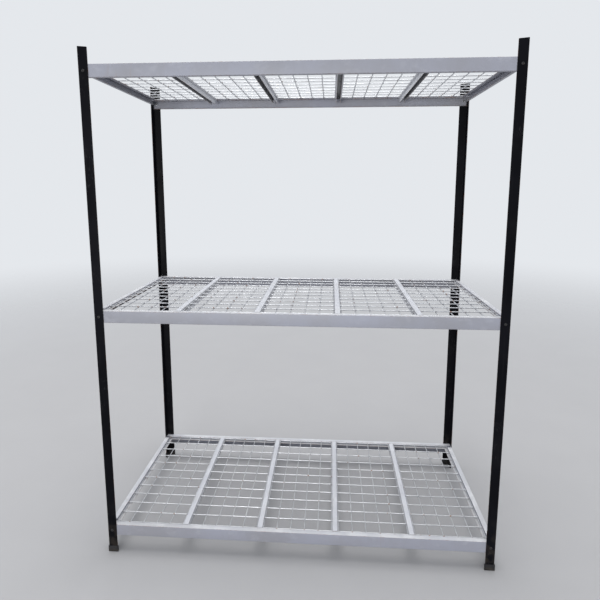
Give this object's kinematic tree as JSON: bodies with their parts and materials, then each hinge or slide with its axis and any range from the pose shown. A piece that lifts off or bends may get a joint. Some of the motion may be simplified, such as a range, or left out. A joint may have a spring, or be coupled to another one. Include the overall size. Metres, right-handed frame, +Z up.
{
  "type": "wire shelving rack",
  "caption": "Three-level rack of angle posts, bolted step beams, cross bars and lay-in welded wire decks, for greenhouse and nursery stock.",
  "frame": {"origin": "on the floor under the middle of the rack", "axes": "+Z up, +X to the right along the rack, -Y towards the front"},
  "size_m": [1.496, 0.706, 1.9],
  "materials": {
    "post_paint": "satin black stove enamel",
    "foot_plastic": "moulded black plastic",
    "beam_paint": "satin pale grey enamel",
    "bar_paint": "satin off-white enamel",
    "deck_wire": "bright zinc on welded wire",
    "bolt_black": "black oxide",
    "nut_zinc": "zinc plated"
  },
  "bodies": {
    "frame": {"front_left_post": "post_paint", "rear_left_post": "post_paint", "front_right_post": "post_paint", "rear_right_post": "post_paint", "front_left_foot": "foot_plastic", "rear_left_foot": "foot_plastic", "front_right_foot": "foot_plastic", "rear_right_foot": "foot_plastic", "bottom_front_beam": "beam_paint", "bottom_rear_beam": "beam_paint", "bottom_left_beam": "beam_paint", "bottom_right_beam": "beam_paint", "middle_front_beam": "beam_paint", "middle_rear_beam": "beam_paint", "middle_left_beam": "beam_paint", "middle_right_beam": "beam_paint", "top_front_beam": "beam_paint", "top_rear_beam": "beam_paint", "top_left_beam": "beam_paint", "top_right_beam": "beam_paint", "bottom_bar_1": "bar_paint", "bottom_bar_2": "bar_paint", "bottom_bar_3": "bar_paint", "bottom_bar_4": "bar_paint", "middle_bar_1": "bar_paint", "middle_bar_2": "bar_paint", "middle_bar_3": "bar_paint", "middle_bar_4": "bar_paint", "top_bar_1": "bar_paint", "top_bar_2": "bar_paint", "top_bar_3": "bar_paint", "top_bar_4": "bar_paint", "bottom_bolts": "bolt_black", "middle_bolts": "bolt_black", "top_bolts": "bolt_black", "bottom_nuts": "nut_zinc", "middle_nuts": "nut_zinc", "top_nuts": "nut_zinc"},
    "bottom_deck_1": {"bottom_deck_1": "deck_wire"},
    "bottom_deck_2": {"bottom_deck_2": "deck_wire"},
    "bottom_deck_3": {"bottom_deck_3": "deck_wire"},
    "bottom_deck_4": {"bottom_deck_4": "deck_wire"},
    "bottom_deck_5": {"bottom_deck_5": "deck_wire"},
    "middle_deck_1": {"middle_deck_1": "deck_wire"},
    "middle_deck_2": {"middle_deck_2": "deck_wire"},
    "middle_deck_3": {"middle_deck_3": "deck_wire"},
    "middle_deck_4": {"middle_deck_4": "deck_wire"},
    "middle_deck_5": {"middle_deck_5": "deck_wire"},
    "top_deck_1": {"top_deck_1": "deck_wire"},
    "top_deck_2": {"top_deck_2": "deck_wire"},
    "top_deck_3": {"top_deck_3": "deck_wire"},
    "top_deck_4": {"top_deck_4": "deck_wire"},
    "top_deck_5": {"top_deck_5": "deck_wire"}
  },
  "joints": [
    {"name": "bottom_deck_1_lift", "type": "slide", "parent": "frame", "child": "bottom_deck_1", "axis": [0, 0, 1], "range_m": [0, 0.12]},
    {"name": "bottom_deck_2_lift", "type": "slide", "parent": "frame", "child": "bottom_deck_2", "axis": [0, 0, 1], "range_m": [0, 0.12]},
    {"name": "bottom_deck_3_lift", "type": "slide", "parent": "frame", "child": "bottom_deck_3", "axis": [0, 0, 1], "range_m": [0, 0.12]},
    {"name": "bottom_deck_4_lift", "type": "slide", "parent": "frame", "child": "bottom_deck_4", "axis": [0, 0, 1], "range_m": [0, 0.12]},
    {"name": "bottom_deck_5_lift", "type": "slide", "parent": "frame", "child": "bottom_deck_5", "axis": [0, 0, 1], "range_m": [0, 0.12]},
    {"name": "middle_deck_1_lift", "type": "slide", "parent": "frame", "child": "middle_deck_1", "axis": [0, 0, 1], "range_m": [0, 0.12]},
    {"name": "middle_deck_2_lift", "type": "slide", "parent": "frame", "child": "middle_deck_2", "axis": [0, 0, 1], "range_m": [0, 0.12]},
    {"name": "middle_deck_3_lift", "type": "slide", "parent": "frame", "child": "middle_deck_3", "axis": [0, 0, 1], "range_m": [0, 0.12]},
    {"name": "middle_deck_4_lift", "type": "slide", "parent": "frame", "child": "middle_deck_4", "axis": [0, 0, 1], "range_m": [0, 0.12]},
    {"name": "middle_deck_5_lift", "type": "slide", "parent": "frame", "child": "middle_deck_5", "axis": [0, 0, 1], "range_m": [0, 0.12]},
    {"name": "top_deck_1_lift", "type": "slide", "parent": "frame", "child": "top_deck_1", "axis": [0, 0, 1], "range_m": [0, 0.12]},
    {"name": "top_deck_2_lift", "type": "slide", "parent": "frame", "child": "top_deck_2", "axis": [0, 0, 1], "range_m": [0, 0.12]},
    {"name": "top_deck_3_lift", "type": "slide", "parent": "frame", "child": "top_deck_3", "axis": [0, 0, 1], "range_m": [0, 0.12]},
    {"name": "top_deck_4_lift", "type": "slide", "parent": "frame", "child": "top_deck_4", "axis": [0, 0, 1], "range_m": [0, 0.12]},
    {"name": "top_deck_5_lift", "type": "slide", "parent": "frame", "child": "top_deck_5", "axis": [0, 0, 1], "range_m": [0, 0.12]}
  ]
}
